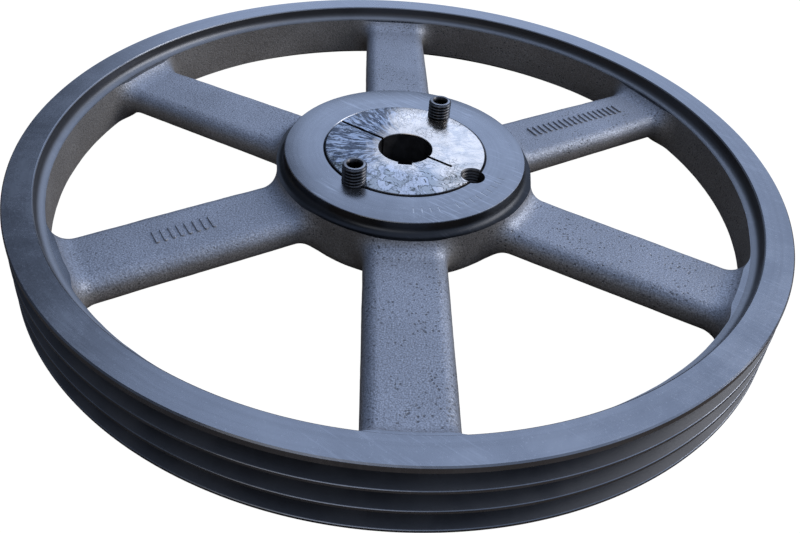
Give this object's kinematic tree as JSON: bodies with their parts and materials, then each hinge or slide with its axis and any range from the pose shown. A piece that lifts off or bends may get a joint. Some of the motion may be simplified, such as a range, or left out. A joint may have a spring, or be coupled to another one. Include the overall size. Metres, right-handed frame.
{
  "type": "v belt pulley",
  "caption": "Spoked cast-iron V belt pulley with a grooved rim and a split taper bush, held in its hub by hex-socket set screws.",
  "frame": {"origin": "on the pulley's axis, midway across the 50 mm face of the rim", "axes": "+Z along the axis, out of the side the bush is fitted from; the bush's keyway is 2 degrees off -Y towards +X"},
  "size_m": [0.5056, 0.5056, 0.064],
  "materials": {
    "casting": "blue-grey phosphated iron, turned rim and hub faces, pebbled as-cast arms",
    "bush": "oiled black phosphate over fine turning marks",
    "screw": "black oxide, slightly glossy"
  },
  "bodies": {
    "wheel": {"pulley_wheel": "casting"},
    "bush": {"taper_bush": "bush"},
    "screw_a": {"locking_screw_a": "screw"},
    "screw_b": {"locking_screw_b": "screw"}
  },
  "joints": [
    {"name": "bush_draw", "type": "slide", "parent": "wheel", "child": "bush", "axis": [0, 0, 1], "range_m": [-0.001, 0.055]},
    {"name": "screw_a_travel", "type": "slide", "parent": "bush", "child": "screw_a", "axis": [0, 0, 1], "range_m": [-0.01154, 0.02078]},
    {"name": "screw_b_travel", "type": "slide", "parent": "bush", "child": "screw_b", "axis": [0, 0, 1], "range_m": [-0.01154, 0.02078]}
  ]
}
